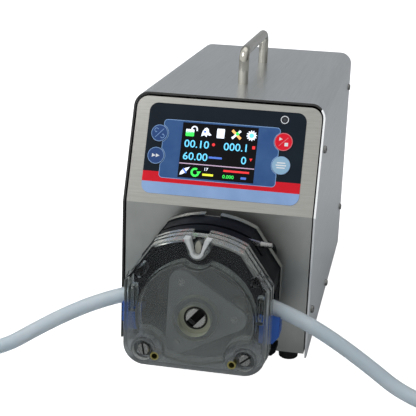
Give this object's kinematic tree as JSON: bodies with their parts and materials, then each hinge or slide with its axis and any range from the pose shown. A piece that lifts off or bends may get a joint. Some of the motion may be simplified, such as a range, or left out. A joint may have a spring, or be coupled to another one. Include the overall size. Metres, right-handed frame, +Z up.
{
  "type": "peristaltic pump",
  "caption": "Bench-top peristaltic pump: sheet-metal drive with tilted keypad and display, carry handle, and a clear-fronted roller head with lever and tube.",
  "frame": {"origin": "centre of the footprint of the pump, cords left out, on the surface its rubber feet stand on", "axes": "+Z up, -Y is the pump head's side, +Y the connector side, +X to the right of someone facing the keypad"},
  "size_m": [0.4121, 0.3804, 0.2339],
  "materials": {
    "bearing_steel": "ground",
    "bed_black": "moulded",
    "black_oxide": "black oxide",
    "black_plastic": "moulded",
    "body_black": "glass-filled moulding",
    "cast_aluminium": "machined",
    "clear_cover": "clear moulded",
    "contact_metal": "plated",
    "display_glass": "dark tinted",
    "electronics": "solder mask",
    "foot_rubber": "matt",
    "handle_steel": "polished rod",
    "insert_brass": "knurled",
    "key_blue": "printed dome",
    "key_light_blue": "printed dome",
    "key_red": "printed dome",
    "lens_red": "translucent",
    "lever_steel": "satin",
    "motor_black": "satin",
    "overlay_print": "printed polyester",
    "plate_grey": "smoked moulded",
    "retainer_blue": "moulded",
    "rocker_plastic": "moulded",
    "roller_plastic": "turned",
    "rotor_plate": "machined",
    "shaft_steel": "ground",
    "silicone": "translucent silicone",
    "spring_steel": "drawn",
    "stainless": "fine satin brushed sheet",
    "standoff_brass": "turned",
    "supply_case": "folded sheet",
    "tray_metal": "plain sheet",
    "zinc_screw": "bright zinc"
  },
  "bodies": {
    "pump": {"base_tray": "tray_metal", "board_screws": "zinc_screw", "board_standoffs": "standoff_brass", "brass_inserts": "insert_brass", "carry_handle": "handle_steel", "control_board": "electronics", "control_port": "zinc_screw", "cover_screws": "zinc_screw", "display_module": "black_plastic", "display_window": "display_glass", "drive_motor": "motor_black", "driver_board": "electronics", "foot_screws": "zinc_screw", "front_bearing": "bearing_steel", "front_panel": "stainless", "guide_pins": "shaft_steel", "handle_screws": "zinc_screw", "head_body": "body_black", "head_front_cover": "clear_cover", "head_rear_plate": "plate_grey", "head_screws": "lever_steel", "housing_cover": "stainless", "indicator_lens": "lens_red", "mains_inlet": "black_plastic", "mains_inlet_pins": "contact_metal", "membrane_overlay": "overlay_print", "motor_bracket": "cast_aluminium", "motor_screws": "black_oxide", "mounting_plate": "body_black", "mounting_plate_screws": "black_oxide", "power_supply": "supply_case", "pump_tube": "silicone", "rear_bearing": "bearing_steel", "rear_panel": "stainless", "retainer_spring_left": "spring_steel", "retainer_spring_right": "spring_steel", "rubber_feet": "foot_rubber", "switch_frame": "black_plastic", "tube_tail_left": "silicone", "tube_tail_right": "silicone"},
    "rotor": {"rotor_shaft": "shaft_steel", "rotor_front_plate": "rotor_plate", "rotor_rear_plate": "rotor_plate", "roller_pins": "shaft_steel", "drive_coupling": "cast_aluminium", "motor_shaft": "shaft_steel"},
    "roller_a": {"roller_1": "roller_plastic"},
    "roller_b": {"roller_2": "roller_plastic"},
    "roller_c": {"roller_3": "roller_plastic"},
    "lever": {"cam_shaft": "shaft_steel", "release_lever": "lever_steel", "lever_knob": "lever_steel"},
    "bed": {"occlusion_bed": "bed_black"},
    "retainer_left": {"tube_retainer_left": "retainer_blue"},
    "retainer_right": {"tube_retainer_right": "retainer_blue"},
    "direction_key": {"key_direction": "key_blue"},
    "prime_key": {"key_prime": "key_blue"},
    "start_stop_key": {"key_start_stop": "key_red"},
    "mode_key": {"key_mode": "key_light_blue"},
    "rocker": {"power_rocker": "rocker_plastic"}
  },
  "joints": [
    {"name": "rotor_spin", "type": "hinge", "parent": "pump", "child": "rotor", "pos_m": [0, -0.15925, 0.0622], "axis": [0, -1, 0], "continuous": true},
    {"name": "roller_1_spin", "type": "hinge", "parent": "rotor", "child": "roller_a", "pos_m": [-0.01268, -0.15925, 0.08604], "axis": [0, -1, 0], "continuous": true},
    {"name": "roller_2_spin", "type": "hinge", "parent": "rotor", "child": "roller_b", "pos_m": [-0.01431, -0.15925, 0.0393], "axis": [0, -1, 0], "continuous": true},
    {"name": "roller_3_spin", "type": "hinge", "parent": "rotor", "child": "roller_c", "pos_m": [0.02698, -0.15925, 0.06126], "axis": [0, -1, 0], "continuous": true},
    {"name": "lever_swing", "type": "hinge", "parent": "pump", "child": "lever", "pos_m": [0, -0.15325, 0.1142], "axis": [0, -1, 0], "range_deg": [0, 180]},
    {"name": "bed_lift", "type": "slide", "parent": "pump", "child": "bed", "axis": [0, 0, 1], "range_m": [0, 0.006]},
    {"name": "retainer_left_slide", "type": "slide", "parent": "pump", "child": "retainer_left", "axis": [0, 0, -1], "range_m": [0, 0.003], "stiffness_N_per_m": 900, "springref_m": -0.001, "deforming": ["retainer_spring_left"]},
    {"name": "retainer_right_slide", "type": "slide", "parent": "pump", "child": "retainer_right", "axis": [0, 0, -1], "range_m": [0, 0.003], "stiffness_N_per_m": 900, "springref_m": -0.001, "deforming": ["retainer_spring_right"]},
    {"name": "key_direction_press", "type": "slide", "parent": "pump", "child": "direction_key", "axis": [0, 0.9239, -0.3827], "range_m": [0, 0.0005], "stiffness_N_per_m": 800},
    {"name": "key_prime_press", "type": "slide", "parent": "pump", "child": "prime_key", "axis": [0, 0.9239, -0.3827], "range_m": [0, 0.0005], "stiffness_N_per_m": 800},
    {"name": "key_start_stop_press", "type": "slide", "parent": "pump", "child": "start_stop_key", "axis": [0, 0.9239, -0.3827], "range_m": [0, 0.0005], "stiffness_N_per_m": 800},
    {"name": "key_mode_press", "type": "slide", "parent": "pump", "child": "mode_key", "axis": [0, 0.9239, -0.3827], "range_m": [0, 0.0005], "stiffness_N_per_m": 800},
    {"name": "power_rocker_tilt", "type": "hinge", "parent": "pump", "child": "rocker", "pos_m": [0.008, 0.18385, 0.048], "axis": [1, 0, 0], "range_deg": [-18, 0]}
  ],
  "couplings": [
    {"joint": "roller_1_spin", "follows": "rotor_spin", "ratio": -4.6},
    {"joint": "roller_2_spin", "follows": "rotor_spin", "ratio": -4.6},
    {"joint": "roller_3_spin", "follows": "rotor_spin", "ratio": -4.6},
    {"joint": "lever_swing", "follows": "bed_lift", "rad_per_m": 523.6}
  ]
}
